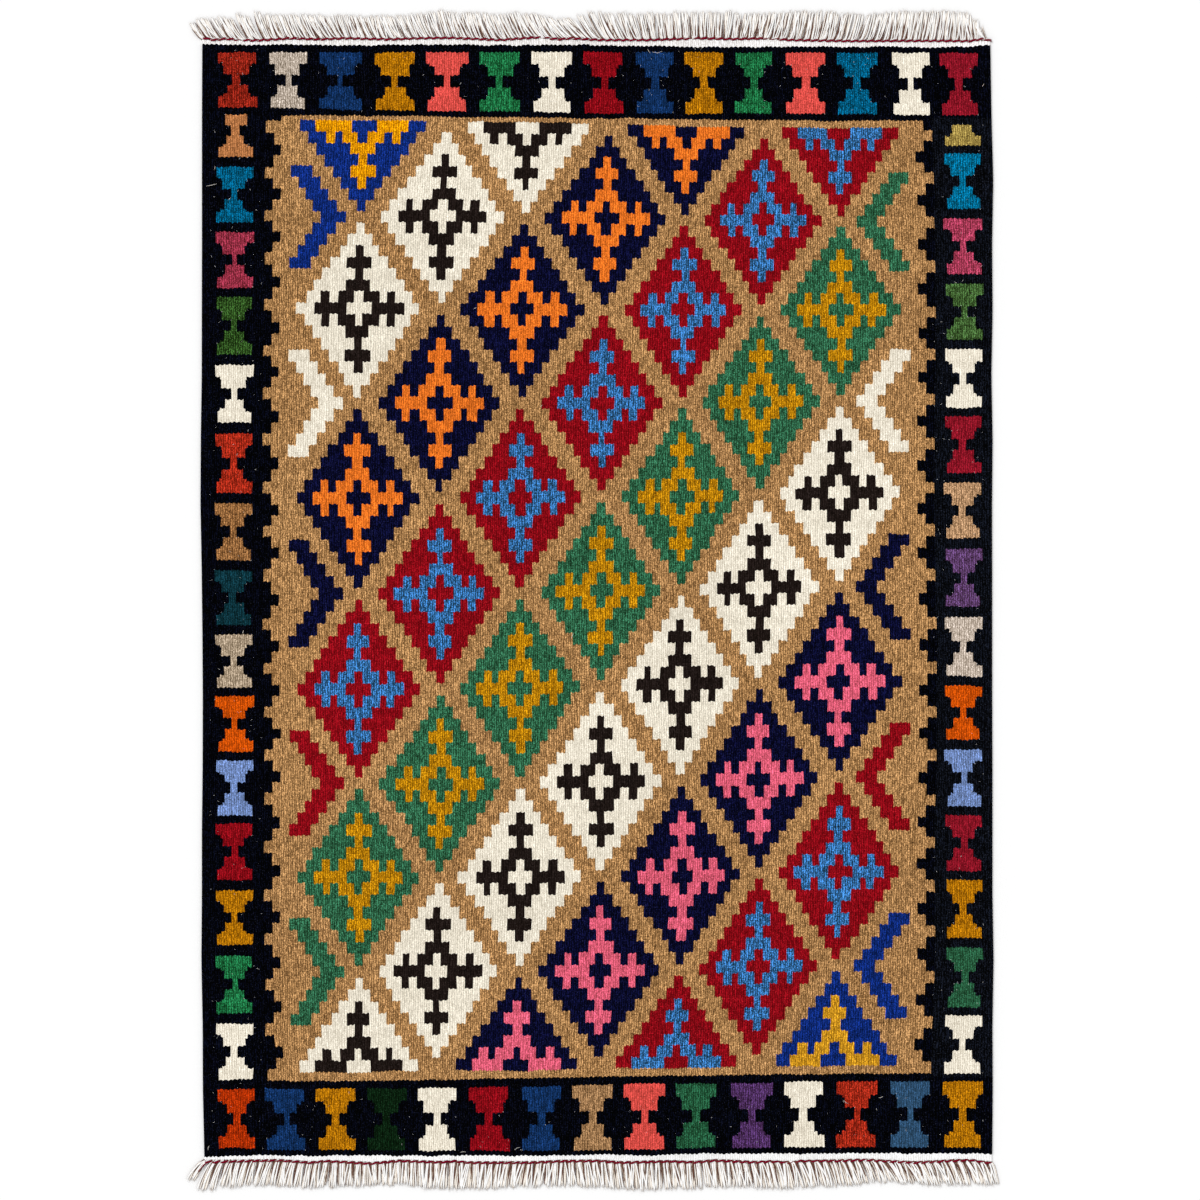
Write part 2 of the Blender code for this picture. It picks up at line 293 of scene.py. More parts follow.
# Fringe: the count of locks, the line that spaces them, the height of a packed lock's tip, and
# where a tip strays from its solid.
LOCKS = 100
FRINGE_LINE = 744
TIP_HEIGHT = 1.5
STRAY_TIPS = {
    "north": {
        1: (-3, 0), 2: (-5, 0), 3: (-4, 0), 4: (-4, 1), 5: (-4, 0), 6: (-2, 3), 7: (-5, 0),
        8: (-3, 2), 97: (-4, -2), 98: (-5, -6), 99: (-7, -11),
    },
    "south": {0: (-9, 10), 1: (-7, -3), 2: (-6, -2), 97: (-3, 2), 98: (-4, 2), 99: (-4, 3)},
}
# How far the tips are swept east or west past their solids, along each end: x and sweep.
SWEEP = {
    "north": (
        (-515, 0), (-420, -3), (-330, -5), (-200, -6), (-110, -6), (-60, -10), (0, -14), (40, -9),
        (90, -1), (160, 0), (240, 6), (330, 5), (430, 4), (490, 0),
    ),
    "south": (
        (-515, 0), (-490, -5), (-420, -6), (-350, -3), (-300, 0), (-160, 0), (-90, -5), (-40, 3),
        (60, 2), (150, 4), (260, 6), (400, 8), (490, 5), (520, 0),
    ),
}
# Strands of a lock: how many, their spread to each side, radius, height over the floor, how far
# their tips stray, and darkness. The darkness is painted shade: most for the seam and line strands,
# dark yarns that stand in for the shadows between locks, less for the lower bed, and below zero a
# painted highlight on the top strands.
STRANDS = {
    "north": {
        "bed": (5, 4.6, 1.08, 1.05, 1.4, 0.12),
        "seam": (2, 5.2, 0.76, 2.0, 2.6, 1.0),
        "line": (2, 3.6, 0.56, 2.3, 5.6, 0.8),
        "top": (3, 3.4, 0.78, 2.6, 5.6, -0.35),
    },
    "south": {
        "bed": (5, 4.6, 1.08, 1.05, 1.2, 0.3),
        "seam": (2, 5.2, 1.1, 1.9, 2.0, 0.95),
        "line": (2, 3.4, 0.5, 2.3, 6.4, 0.72),
        "top": (3, 3.2, 0.98, 2.6, 6.6, -0.35),
    },
}
# Dark ones, painted shadows between the locks, are shorter, by a share of the length, and don't
# fray.
SHADOW_STRANDS = ("seam", "line")
SHADOW_LENGTHS = (0.6, 0.95)
# Of a seam's two strands, dark yarns that paint shadow, the first lies at the lock's west edge, the
# other within these shares.
SEAM_PLACES = (-0.6, 0.6)
SEAM_THICKNESS = (0.7, 1.3)
YARN_RINGS = 10
# A lock that leans further than this turns near its root, and others nearer to their tips.
STRONG_LEAN = 6
EARLY_BEND = (0.5, 0.8)
LATE_BEND = (0.9, 1.3)
# The twining draws a lock in: by what share, how far from the cloth, and over what width.
GATHER = (0.26, 2.2, 2.6)

# A ply of the twining is thin between two locks and swells over each lock.
TWINE_SEED = {"north": 7, "south": 8}
TWINE_RADIUS = 0.65
TWINE_SWELL = 0.85
TWINE_VIGOUR = (0.75, 1.2)
TWINE_PLY_RADIUS = 1.05
TWINE_HEIGHT = 2.2
# How far inside the cloth's edges it ends, and how much further east it goes.
TWINE_INSET = 0.6
TWINE_PAST = {"north": 2.4, "south": 0.0}
# Where the cream warps hide most of it: x, and its width, drop and thinning there.
TWINE_GAPS = {"north": (-474, -72, 126, 228, 236), "south": (259,)}
GAP_WIDTH = 5
GAP_DROP = 0.6
GAP_THINNING = 0.7

# Loose ends of white warp that lie on the cloth: x, y, length and direction in degrees.
LOOSE_ENDS = (
    (-178, -733.5, 7, 4), (-106, -729, 8, 25), (513, 684, 4, 60), (-508, 574, 5, 80),
    (-488, 533, 4, 40), (377, -660.5, 6, 20), (331, -667, 7, -35), (-512, 551.5, 14, 12),
    (-470.5, -42.5, 5, 70), (-74, 257.5, 4, 50), (0, 270, 3, 90), (-3, 223, 3, 80),
    (-162, 388, 4, 30), (69, 729.5, 6, -60), (80, 728.5, 13, 3), (-516, -728, 6, 75),
    (-33, -48, 8, 65),
)
LOOSE_RADIUS = 0.24
# Seeded ones are paler: at a share of the slit ends, and as fibres on the border. Those lie in one
# area and out of another, given by half their sizes.
PALE_DEPTH = -0.4
SLIT_SHARE = 0.16
SPECKS = 420
SPECK_AREA = (515, 732)
CLEAN_AREA = (445, 650)

# Colours of a yarn from its shaded sides up to its crown.
COTTON_STOPS = ((0.0, "#6a483b"), (0.24, "#e4d5c0"), (0.60, "#fff9f1"), (1.0, "#ffffff"))
CRIMSON_STOPS = ((0.0, "#28020c"), (0.9, "#7c0724"))

# Noises of the wool: pace from rib to rib and along a metre of warp, layer and detail.
WOOL_NOISES = {
    "threads": (3.71, 145.0, 0.4, 1.0),
    "ribs": (2.37, 70.0, 5.3, 1.0),
    "mottle": (0.9, 290.0, 11.7, 1.0),
    "fibres": (2.3, 560.0, 7.1, 2.0),
    "abrash": (0.012, 45.0, 13.9, 1.0),
    "weather": (0.012, 3.6, 17.2, 1.0),
}
# How much each counts in the heather's streaks and in the slow changes of dye.
STREAKS = {"threads": 0.60, "ribs": 0.14, "mottle": 0.06, "fibres": 1.05}
SLOW_CHANGES = {"abrash": 0.03, "weather": 0.035}
# How strong the streaks are, and what is taken off to keep the mean of a dye.
HEATHER_GAIN = 1.9
HEATHER_LOSS = -0.42
# Painted shade on the ribs: how much lighter a crest is painted than a valley, for each unit of
# heather, and in any dye.
PAINTED_RIB_SHADE = (2.0, 0.16)
# The lightest streak, and how far red, green and blue follow the streaks.
LIGHTEST = 0.95
CHANNELS = (0.94, 1.0, 1.10)
# Painted highlight, pale glints of light on the wool's fibres: the fibre at which it starts to
# show, and its strength.
FUZZ_HIGHLIGHT_START = 1.0
FUZZ_HIGHLIGHT = 0.035
# Beads of weft in a metre.
PICKS = 900.0
WOOL_ROUGHNESS = 0.92
YARN_ROUGHNESS = 0.9
ROUGHNESS_GRAIN = 0.02


# ---- Small tools


def linear(code):
    """A colour written as #rrggbb, as linear light."""
    channels = [int(code[i:i + 2], 16) / 255 for i in (1, 3, 5)]
    return [c / 12.92 if c <= 0.04045 else ((c + 0.055) / 1.055) ** 2.4 for c in channels]


class Ripple:
    """A smooth, seeded unevenness over the cloth: a sum of waves, with its rms size in mm."""

    def __init__(self, seed, size, shortest, longest, waves=10):
        dice = random.Random(seed)
        self.size = size * math.sqrt(2 / waves)
        self.waves = []
        for _ in range(waves):
            turn = dice.uniform(0, 2 * math.pi)
            pace = 2 * math.pi / math.exp(dice.uniform(math.log(shortest), math.log(longest)))
            phase = dice.uniform(0, 2 * math.pi)
            self.waves.append((pace * math.cos(turn), pace * math.sin(turn), phase))

    def at(self, x, y):
        return self.size * sum(np.sin(a * x + b * y + phase) for a, b, phase in self.waves)


def packed_points(node):
    """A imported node's corners, in the cloth's own millimetres."""
    points = np.array([v.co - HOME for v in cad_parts[node].data.vertices])
    points[:, 2] += HOME.z
    return np.unique(np.round(points / MM, 3), axis=0)


def stand(name, data):
    """A new object in the scene."""
    made = bpy.data.objects.new(name, data)
    bpy.context.scene.collection.objects.link(made)
    return made


def make_piece(name, points, faces, material):
    """A smooth mesh piece from points in the cloth's millimetres, riding on the rug."""
    mesh = bpy.data.meshes.new(name)
    placed = np.asarray(points, float) * MM + (HOME.x, HOME.y, 0)
    mesh.from_pydata(placed.tolist(), [], faces)
    mesh.polygons.foreach_set("use_smooth", [True] * len(mesh.polygons))
    mesh.materials.append(material)
    piece = stand(name, mesh)
    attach(piece, "root")
    return piece


# ---- Materials


def add(tree, kind, sockets=None, **settings):
    """A shader node. Sockets are filled by name or number, with a value or another's output."""
    made = tree.nodes.new("ShaderNode" + kind)
    for key, value in settings.items():
        setattr(made, key, value)
    for socket, value in (sockets or {}).items():
        if isinstance(value, bpy.types.NodeSocket):
            tree.links.new(value, made.inputs[socket])
        else:
            made.inputs[socket].default_value = value
    return made


def calc(tree, operation, *values):
    """The result of a sum on sockets and numbers."""
    return add(tree, "Math", dict(enumerate(values)), operation=operation).outputs[0]


def times(tree, *values):
    """The product of two sockets or numbers."""
    return calc(tree, "MULTIPLY", *values)


def new_material(name, roughness, specular):
    material = bpy.data.materials.new(name)
    material.use_nodes = True
    tree = material.node_tree
    shader = tree.nodes["Principled BSDF"]
    shader.inputs["Roughness"].default_value = roughness
    shader.inputs["Specular IOR Level"].default_value = specular
    return material, tree, shader


def noise_at(tree, vector, scale, detail=1.0):
    """Noise about zero, of an rms size near 1."""
    made = add(tree, "TexNoise", {"Vector": vector, "Scale": scale, "Detail": detail})
    return calc(tree, "MULTIPLY_ADD", made.outputs["Fac"], 7.0, -3.5)


def stretched(tree, u, v, u_pace, v_pace, layer):
    """A place in noise space that runs at its own pace along u and along v."""
    places = {0: times(tree, u, u_pace), 1: times(tree, v, v_pace), 2: layer}
    return add(tree, "CombineXYZ", places).outputs[0]


def blend(tree, operation, first, second):
    """The result of a sum on two colours."""
    return add(tree, "VectorMath", {0: first, 1: second}, operation=operation).outputs[0]


def grey(tree, value):
    """A colour with the same value in each channel."""
    return add(tree, "CombineXYZ", {0: value, 1: value, 2: value}).outputs[0]


def total(tree, *parts):
    """The sum of several sockets, each with its weight."""
    result = times(tree, *parts[0])
    for socket, weight in parts[1:]:
        result = calc(tree, "MULTIPLY_ADD", socket, weight, result)
    return result


def finish_material(tree, shader, colour, bump, grain, roughness):
    """Gives a shader its colour, its bump, and a roughness that varies with the grain."""
    tree.links.new(colour, shader.inputs["Base Color"])
    tree.links.new(add(tree, "Bump", bump).outputs[0], shader.inputs["Normal"])
    rough = calc(tree, "MULTIPLY_ADD", grain, ROUGHNESS_GRAIN, roughness)
    tree.links.new(rough, shader.inputs["Roughness"])


def wool_material():
    """Heathered wool over ribs: a streak on each half rib, painted shade in the rib valleys, beads
    of weft, painted highlights on the fibres, and slow abrash.
    """
    material, tree, shader = new_material("woven_wool", WOOL_ROUGHNESS, 0.02)
    dye = add(tree, "Attribute", attribute_name="dye")
    place = add(tree, "UVMap", uv_map="weave").outputs[0]
    split = add(tree, "SeparateXYZ", {0: place})
    u, v = split.outputs[0], split.outputs[1]

    rib = calc(tree, "FLOOR", u)
    half_rib = calc(tree, "FLOOR", times(tree, u, 2.0))
    from_crest = calc(tree, "ABSOLUTE", calc(tree, "SUBTRACT", calc(tree, "FRACT", u), 0.5))
    crest = calc(tree, "SUBTRACT", 0.5, times(tree, from_crest, 2.0))

    stepped = {"threads": half_rib, "ribs": rib}
    noises = {}
    for name, (*pace, detail) in WOOL_NOISES.items():
        noises[name] = noise_at(tree, stretched(tree, stepped.get(name, u), v, *pace), 1.0, detail)
    fibres = noises["fibres"]

    def mixed(weights):
        return total(tree, *[(noises[name], weight) for name, weight in weights.items()])

    heather = times(tree, dye.outputs["Alpha"], HEATHER_GAIN)
    streak = times(tree, mixed(STREAKS), heather)
    loss = times(tree, times(tree, heather, heather), HEATHER_LOSS)
    slow = mixed(SLOW_CHANGES)
    # Painted shade and light: the valleys between the ribs are darkened and the crests are
    # lightened.
    painted_rib_shade = times(tree, crest, calc(tree, "MULTIPLY_ADD", dye.outputs["Alpha"], *PAINTED_RIB_SHADE))
    light = total(tree, (streak, 1.0), (loss, 1.0), (slow, 1.0), (painted_rib_shade, 1.0))
    light = calc(tree, "MINIMUM", light, LIGHTEST)
    tint = [calc(tree, "EXPONENT", times(tree, light, share)) for share in CHANNELS]
    shade = add(tree, "CombineXYZ", dict(enumerate(tint))).outputs[0]
    colour = blend(tree, "MULTIPLY", dye.outputs["Color"], shade)
    # Painted highlight: pale grey is added where the fibres are brightest, glints of light on the
    # wool.
    fuzz_highlight = calc(tree, "MAXIMUM", calc(tree, "SUBTRACT", fibres, FUZZ_HIGHLIGHT_START), 0.0)
    colour = blend(tree, "ADD", colour, grey(tree, times(tree, fuzz_highlight, FUZZ_HIGHLIGHT)))

    # Neighbouring ribs have their beads half a bead apart.
    picks = calc(tree, "MULTIPLY_ADD", v, PICKS, times(tree, rib, 0.5))
    bead = calc(tree, "ABSOLUTE", calc(tree, "SINE", times(tree, picks, math.pi)))
    height = total(tree, (bead, 0.7), (fibres, 0.16))
    bump = {"Height": height, "Strength": 0.6, "Distance": 0.0005}
    finish_material(tree, shader, colour, bump, fibres, WOOL_ROUGHNESS)
    return material


def yarn_material(name, stops, mottle):
    """Plied yarn: its colour runs through the stops from its shaded sides up to its crown."""
    material, tree, shader = new_material(name, YARN_ROUGHNESS, 0.06)
    crown = add(tree, "Attribute", attribute_name="crown").outputs["Fac"]
    depth = add(tree, "Attribute", attribute_name="depth").outputs["Fac"]
    place = add(tree, "TexCoord").outputs["Object"]
    grain = noise_at(tree, place, 900.0, 2.0)
    patch = noise_at(tree, place, 130.0)
    light = calc(tree, "MULTIPLY_ADD", grain, mottle, calc(tree, "SUBTRACT", crown, depth))
    ramp = add(tree, "ValToRGB", {0: light})
    elements = ramp.color_ramp.elements
    for _ in stops[2:]:
        elements.new(0.5)
    for element, (position, colour) in zip(elements, stops):
        element.position = position
        element.color = (*linear(colour), 1)
    tone = calc(tree, "MULTIPLY_ADD", patch, 0.03, 1.0)
    colour = blend(tree, "MULTIPLY", ramp.outputs[0], grey(tree, tone))
    bump = {"Height": grain, "Strength": 0.4, "Distance": 0.0003}
    finish_material(tree, shader, colour, bump, grain, YARN_ROUGHNESS)
    return material


# ---- The woven cloth


def read_outline():
    """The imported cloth's edges: each side's x by y, and each end's y by x."""
    x, y, z = packed_points("kilim_body").T
    # The nose of a selvedge is half way up it. The ends are read at the floor.
    nose = (z > 1.0) & (z < 1.7)
    foot = (z < 0.1) & (np.abs(y) > END_FROM)
    edges = {}
    for name, there, along, off in (
        ("west", nose & (x < 0), y, x), ("east", nose & (x > 0), y, x),
        ("south", foot & (y < 0), x, y), ("north", foot & (y > 0), x, y),
    ):
        order = np.argsort(along[there])
        edges[name] = (along[there][order], off[there][order])
    return edges


OUTLINE = read_outline()
ROW_RIPPLES = (Ripple(5, 0.38, 24, 110), Ripple(6, 0.30, 10, 24))
WARP_RIPPLES = (Ripple(8, 0.30, 26, 90), Ripple(9, 0.26, 10, 26))
DYE_NUMBER = {name: number for number, name in enumerate(DYES)}


def file_lines():
    """Each file of diamonds: the rows of its middles, numbered from the top, and their places."""
    lines = []
    for file in range(FILES):
        tiers = [tier for tier, middles in enumerate(MIDDLES) if file in middles]
        rows = [TIER_ROWS * tier + 0.5 for tier in tiers]
        lines.append((rows, np.array([MIDDLES[tier][file] for tier in tiers])))
    return lines


FILE_LINES = file_lines()


def warp_paths():
    """Where some warps lie along the rug: number, heights from the south up, and x there."""
    paths = []
    for drift, warps in BORDER_WARPS.items():
        heights, shifts = np.array(DRIFTS[drift])[::-1].T
        paths += [(warp, heights, x + shifts) for warp, x in warps]
    for file, (_, middles) in enumerate(FILE_LINES):
        warp = FIELD_CELL + CELL_WARPS * (file * FILE_CELLS + 0.5)
        paths.append((warp, middles[::-1, 1], middles[::-1, 0]))
    return sorted(paths, key=lambda path: path[0])


WARP_PATHS = warp_paths()


def warp_list():
    """Every warp of the cloth: the half ribs, and the extra ones that round both edges."""
    warps = list(range(WARPS + 1))
    for place, _, _ in EDGE_WARPS:
        warps += [place, WARPS - place]
    return np.array(sorted(warps))


def rib_heights(warps):
    """The face's height over each warp."""
    heights = np.where(warps % 2 == 0, VALLEY, CREST)
    from_edge = np.minimum(warps, WARPS - warps)
    for place, height in enumerate(SELVEDGE_ROLL):
        heights[from_edge == place] = height
    for place, _, height in EDGE_WARPS:
        heights[np.isclose(from_edge, place)] = height
    return heights


class Row:
    """A line across the cloth: its y at any x, its share of the full height, and if it is wool."""

    def __init__(self, place, lift=1.0, woven=True):
        self.place = place
        self.lift = lift
        self.woven = woven

    def lie(self, warps, finely):
        """Where this row meets the warps given. Its ribs stagger if it is drawn finely."""
        nominal = np.array([np.interp(0, heights, places) for _, heights, places in WARP_PATHS])
        y = self.place(nominal)
        xs = [np.interp(y[i], path[1], path[2]) for i, path in enumerate(WARP_PATHS)]
        west = np.interp(y[0], *OUTLINE["west"])
        east = np.interp(y[-1], *OUTLINE["east"])
        x = np.interp(warps, [0, *(path[0] for path in WARP_PATHS), WARPS], [west, *xs, east])
        inner = np.clip(np.minimum(warps, WARPS - warps) / EDGE_FADE, 0, 1)
        y = self.place(x)
        x = x + sum(ripple.at(x, y) for ripple in WARP_RIPPLES) * inner
        for place, inset, _ in EDGE_WARPS:
            x[np.isclose(warps, place)] = west + inset
            x[np.isclose(warps, WARPS - place)] = east - inset
        if self.woven:
            y = y + sum(ripple.at(x, y) for ripple in ROW_RIPPLES)
            if finely:
                y = y + np.where(warps % 4 == 1, SCALLOP, np.where(warps % 4 == 3, -SCALLOP, 0))
        return x, y


def across(points, offset=0.0):
    """A row's place from points on it, moved north by an offset."""
    xs, ys = np.array(points).T
    return lambda x: np.interp(x, xs, ys) + offset


def level(value):
    """A row's place at one y."""
    return lambda x: np.full(np.shape(x), float(value))


def end_place(end, inset):
    """A row's place, a distance inside one end of the cloth."""
    return lambda x: np.interp(x, *OUTLINE[end]) - OUTWARD[end] * inset


def shared(name, other, share):
    """A row's place a share of the way from one line to another."""
    first, second = across(LINES[name]), across(LINES[other])
    return lambda x: first(x) * (1 - share) + second(x) * share


class Patch:
    """A block of cloth: rows from north to south, warps from first to last, and its dyes."""

    def __init__(self, first, last, rows, ground):
        self.first = first
        self.last = last
        self.rows = rows
        self.dyes = np.full((len(rows) - 1, WARPS), DYE_NUMBER[ground])

    def paint(self, row, start, stop, dye):
        self.dyes[row, int(start):int(stop)] = DYE_NUMBER[dye]


def warp_near(x, y):
    """The warp that lies nearest to a point."""
    numbers = np.arange(WARPS + 1)
    places, _ = Row(level(y), woven=False).lie(numbers, False)
    return int(np.argmin(np.abs(places - x)))


def end_rows(end):
    """Rows of an end border from the cloth's edge inwards: cotton band, then the wool."""
    band, out = BAND_LINES[end], OUTWARD[end]
    return [
        Row(end_place(end, -0.05), lift=0.0, woven=False),
        Row(end_place(end, 0.0), lift=BAND_LIFT, woven=False),
        Row(end_place(end, 0.5), lift=BAND_LIFT, woven=False),
        Row(across(band, out * BAND_STEP / 2), lift=BAND_LIFT),
        Row(across(band, -out * BAND_STEP / 2)),
    ]


def row_shares(ornament_rows):
    """Where an ornament's rows begin and end, as shares of its height."""
    heights = np.array([row[0] for row in ornament_rows])
    return np.concatenate(([0], np.cumsum(heights) / heights.sum()))


def end_patches(end, join, corners):
    """The border at one end of the rug, with its row of hourglasses."""
    dice = random.Random(f"ornaments {end}")
    top, foot = f"{end}_top", f"{end}_foot"
    ornament = [Row(shared(top, foot, share)) for share in row_shares(ORNAMENT_ROWS)]
    edge = end_rows(end)
    if end == "north":
        rows = [*edge, *ornament, join]
        bands, first, cotton = (0, 1, 2), len(edge), "cream"
    else:
        rows = [join, *ornament, *reversed(edge)]
        # The south band is painted whiter than the north's cream, a painted highlight against the
        # shade of its slope away from the lamp.
        bands, first, cotton = (-1, -2, -3), 1, "cream_with_painted_light"
    patch = Patch(0, WARPS, rows, "black")
    for band in bands:
        patch.paint(band, 0, WARPS, cotton)
    for x, half_width, dye in END_ORNAMENTS[end]:
        y = shared(top, foot, 0.5)(x)
        for i, (_, less, _) in enumerate(ORNAMENT_ROWS):
            half = NECK if less is None else half_width - less
            start = warp_near(x - half, y) + dice.choice(SLIPS)
            stop = warp_near(x + half, y) + dice.choice(SLIPS)
            patch.paint(first + i, start, stop, dye)
            corners += [(rows[first + i], start), (rows[first + i + 1], stop)]
    return patch


def side_patch(side, north_join, south_join, corners):
    """The border along one side, with its column of hourglasses."""
    dice = random.Random(f"ornaments {side}")
    rows, marks = [north_join], []
    for top, foot, dye in SIDE_ORNAMENTS[side]:
        ornament_rows = ORNAMENT_ROWS if marks else FIRST_ROWS[side]
        marks += [(len(rows) + i, span, dye) for i, (_, _, span) in enumerate(ornament_rows)]
        rows += [Row(level(top + (foot - top) * share)) for share in row_shares(ornament_rows)]
    rows.append(south_join)
    first, last = (0, TEETH["west"][0]) if side == "west" else (TEETH["east"][0], WARPS)
    patch = Patch(first, last, rows, "black" if side == "west" else "charcoal")
    for row, span, dye in marks:
        start, stop = (SIDE_ORNAMENT[side] + edge + dice.choice(SLIPS) for edge in span)
        patch.paint(row, start, stop, dye)
        corners += [(rows[row], start), (rows[row + 1], stop)]
    return patch


def teeth_patch(side, north_join, south_join):
    """The interlocking camel and black teeth between a side border and the field."""
    outer, middle, inner = TEETH[side]
    lines, kinds, places = [], [], TOOTH_PLACES[side]
    for place, after in zip(places, places[1:]):
        step = (after - place) / 8
        lines += [place - step, place + step, place + 3 * step, place + 5 * step]
        kinds += ["tooth", "middle", "gap", "middle"]
    step = (places[-1] - places[-2]) / 8
    lines += [places[-1] - step, places[-1] + step]
    kinds += ["tooth"]
    rows = [Row(level(y)) for y in lines]
    if side == "east":
        rows.insert(0, Row(across(LINES["field_top"])))
        kinds.insert(0, "middle")
    rows = [north_join, *rows, south_join]
    patch = Patch(min(outer, inner), max(outer, inner), rows, "black")
    for row, kind in enumerate(kinds, start=1):
        if kind != "gap":
            patch.paint(row, min(middle, inner), max(middle, inner), "camel")
        if kind == "tooth":
            patch.paint(row, min(outer, middle), max(outer, middle), "camel")
    return patch


def lattice_row(number):
    """A row line of the diamonds, numbered from the top."""
    xs, ys = [], []
    for rows, middles in FILE_LINES:
        inside = min(max(number, rows[0]), rows[-1])
        xs.append(np.interp(inside, rows, middles[:, 0]))
        ys.append(np.interp(inside, rows, middles[:, 1]) - (number - inside) * ROW_HEIGHT)
    return Row(across(list(zip(xs, ys))))


def field_patch(north_join, south_join):
    """The camel field with its lattice of stepped diamonds and its side chevrons."""
    count = TIER_ROWS * (len(MIDDLES) - 1) + 1
    lattice = [lattice_row(number) for number in range(count + 1)]
    top, foot = Row(across(LINES["field_top"])), Row(across(LINES["field_foot"]))
    rows = [north_join, top, *lattice, foot, south_join]
    patch = Patch(TEETH["west"][2], TEETH["east"][2], rows, "camel")
    for row in (0, len(rows) - 2):
        patch.paint(row, 0, WARPS, "black")
    first = rows.index(lattice[0])
    size = (count, FILES * FILE_CELLS + 2 * SIDE_CELLS)
    slips = np.random.default_rng(FIELD_SEED).choice(SLIPS, size=size)

    def paint_cells(row, cell, cells, dye):
        ends = (cell, cell + cells)
        edges = [FIELD_CELL + CELL_WARPS * edge + slips[row, edge + SIDE_CELLS] for edge in ends]
        patch.paint(first + row, *edges, dye)

    for tier in range(len(MIDDLES)):
        for file in range(tier % 2, FILES, 2):
            ground, figure = DIAMONDS[(file + tier) // 2]
            middle = file * FILE_CELLS
            for step in range(1 - TIER_ROWS, TIER_ROWS):
                row = tier * TIER_ROWS + step
                if not 0 <= row < count:
                    continue
                reach = TIER_ROWS - 1 - abs(step)
                paint_cells(row, middle - reach, 2 * reach + 1, ground)
                for cell in FIGURE.get(abs(step), ()):
                    paint_cells(row, middle + cell, 1, figure)
                    paint_cells(row, middle - cell, 1, figure)
    chevron_rows = len(CHEVRONS["west"])
    for tier in range(1, len(MIDDLES), 2):
        for step in range(1 - chevron_rows, chevron_rows):
            row = first + tier * TIER_ROWS + step
            reach = TIER_ROWS - 1 - abs(step)
            cells = {"west": reach + 1 - FILE_CELLS, "east": FILES * FILE_CELLS - reach}
            for side, cell in cells.items():
                shift, width = CHEVRONS[side][abs(step)]
                start = FIELD_CELL + CELL_WARPS * cell + shift - (width if side == "west" else 0)
                diagonal = (tier + (-1 if side == "west" else FILES)) // 2
                patch.paint(row, start, start + width, DIAMONDS[diagonal][0])
    return patch


def all_patches(corners):
    """Every patch of the cloth. The corners of the ornaments are gathered on the way."""
    joins = [Row(across(LINES[line])) for line in ("north_join", "south_join")]
    return [
        end_patches("north", joins[0], corners),
        side_patch("west", *joins, corners),
        teeth_patch("west", *joins),
        field_patch(*joins),
        teeth_patch("east", *joins),
        side_patch("east", *joins, corners),
        end_patches("south", joins[1], corners),
    ]


def weave(patches, warps, finely):
    """Points, faces and dyes of the patches over the warps given. Patches share their seams."""
    heights = rib_heights(warps) if finely else np.zeros(len(warps))
    points, texture, spans = [], [], []
    corner = {}
    on_warp = [[] for _ in warps]
    for patch in patches:
        low = -math.inf if patch.first == 0 else patch.first
        high = math.inf if patch.last == WARPS else patch.last
        span = np.nonzero((warps >= low) & (warps <= high))[0]
        spans.append(span)
        for row in patch.rows:
            x, y = row.lie(warps[span], finely)
            for i, column in enumerate(span):
                if (row, column) in corner:
                    continue
                corner[row, column] = len(points)
                on_warp[column].append((y[i], len(points)))
                points.append((x[i], y[i], heights[column] * row.lift))
                texture.append((warps[column] / 2, y[i] * MM))
    rank = {}
    for column in on_warp:
        column.sort()
        for place, (_, point) in enumerate(column):
            rank[point] = place
    seams = {edge for span in spans for edge in (span[0], span[-1])}

    def passed(column, low, high):
        """Points of a seam between two of its points, which its other side brings in."""
        if column not in seams:
            return []
        return [point for _, point in on_warp[column][rank[low] + 1:rank[high]]]

    faces, dyes = [], []
    for patch, span in zip(patches, spans):
        for upper, lower, dye_row in zip(patch.rows, patch.rows[1:], patch.dyes):
            for left, right in zip(span, span[1:]):
                a, b = corner[lower, left], corner[lower, right]
                c, d = corner[upper, right], corner[upper, left]
                climb = passed(right, b, c)
                drop = passed(left, a, d)
                faces.append((a, b, *climb, c, d, *reversed(drop)))
                dyes.append(dye_row[min(max(int(warps[left]), 0), WARPS - 1)])
    return np.array(points), faces, np.array(dyes), np.array(texture)


def coarse_warps(patches):
    """The warps at which any patch begins, ends or changes its dye."""
    used = {0, WARPS}
    for patch in patches:
        used |= {patch.first, patch.last}
        inner = patch.dyes[:, patch.first:patch.last]
        turns = np.nonzero((inner[:, 1:] != inner[:, :-1]).any(axis=0))[0]
        used |= {int(turn) + patch.first + 1 for turn in turns}
    return np.array(sorted(used))


def build_cloth(name, patches, warps, finely, material):
    """One face of the cloth as a mesh, with its dyes and its texture places."""
    points, faces, dyes, texture = weave(patches, warps, finely)
    if not finely:
        faces = [face[::-1] for face in faces]
        points[:, 0] = np.clip(points[:, 0], -BACK_HALF_WIDTH, BACK_HALF_WIDTH)
    cloth = make_piece(name, points, faces, material)
    mesh = cloth.data
    sizes = np.array([len(face) for face in faces])
    palette = np.array([[*linear(code), heather] for code, heather in DYES.values()])
    colours = np.repeat(palette[dyes], sizes, axis=0)
    attribute = mesh.color_attributes.new("dye", "FLOAT_COLOR", "CORNER")
    attribute.data.foreach_set("color", colours.astype(np.float32).ravel())
    loops = np.empty(len(mesh.loops), int)
    mesh.loops.foreach_get("vertex_index", loops)
    for name, places in (("weave", texture), ("OFBake", points[:, :2] / BAKE_SPAN + 0.5)):
        layer = mesh.uv_layers.new(name=name)
        layer.data.foreach_set("uv", places[loops].astype(np.float32).ravel())
    return cloth


# ---- Yarns


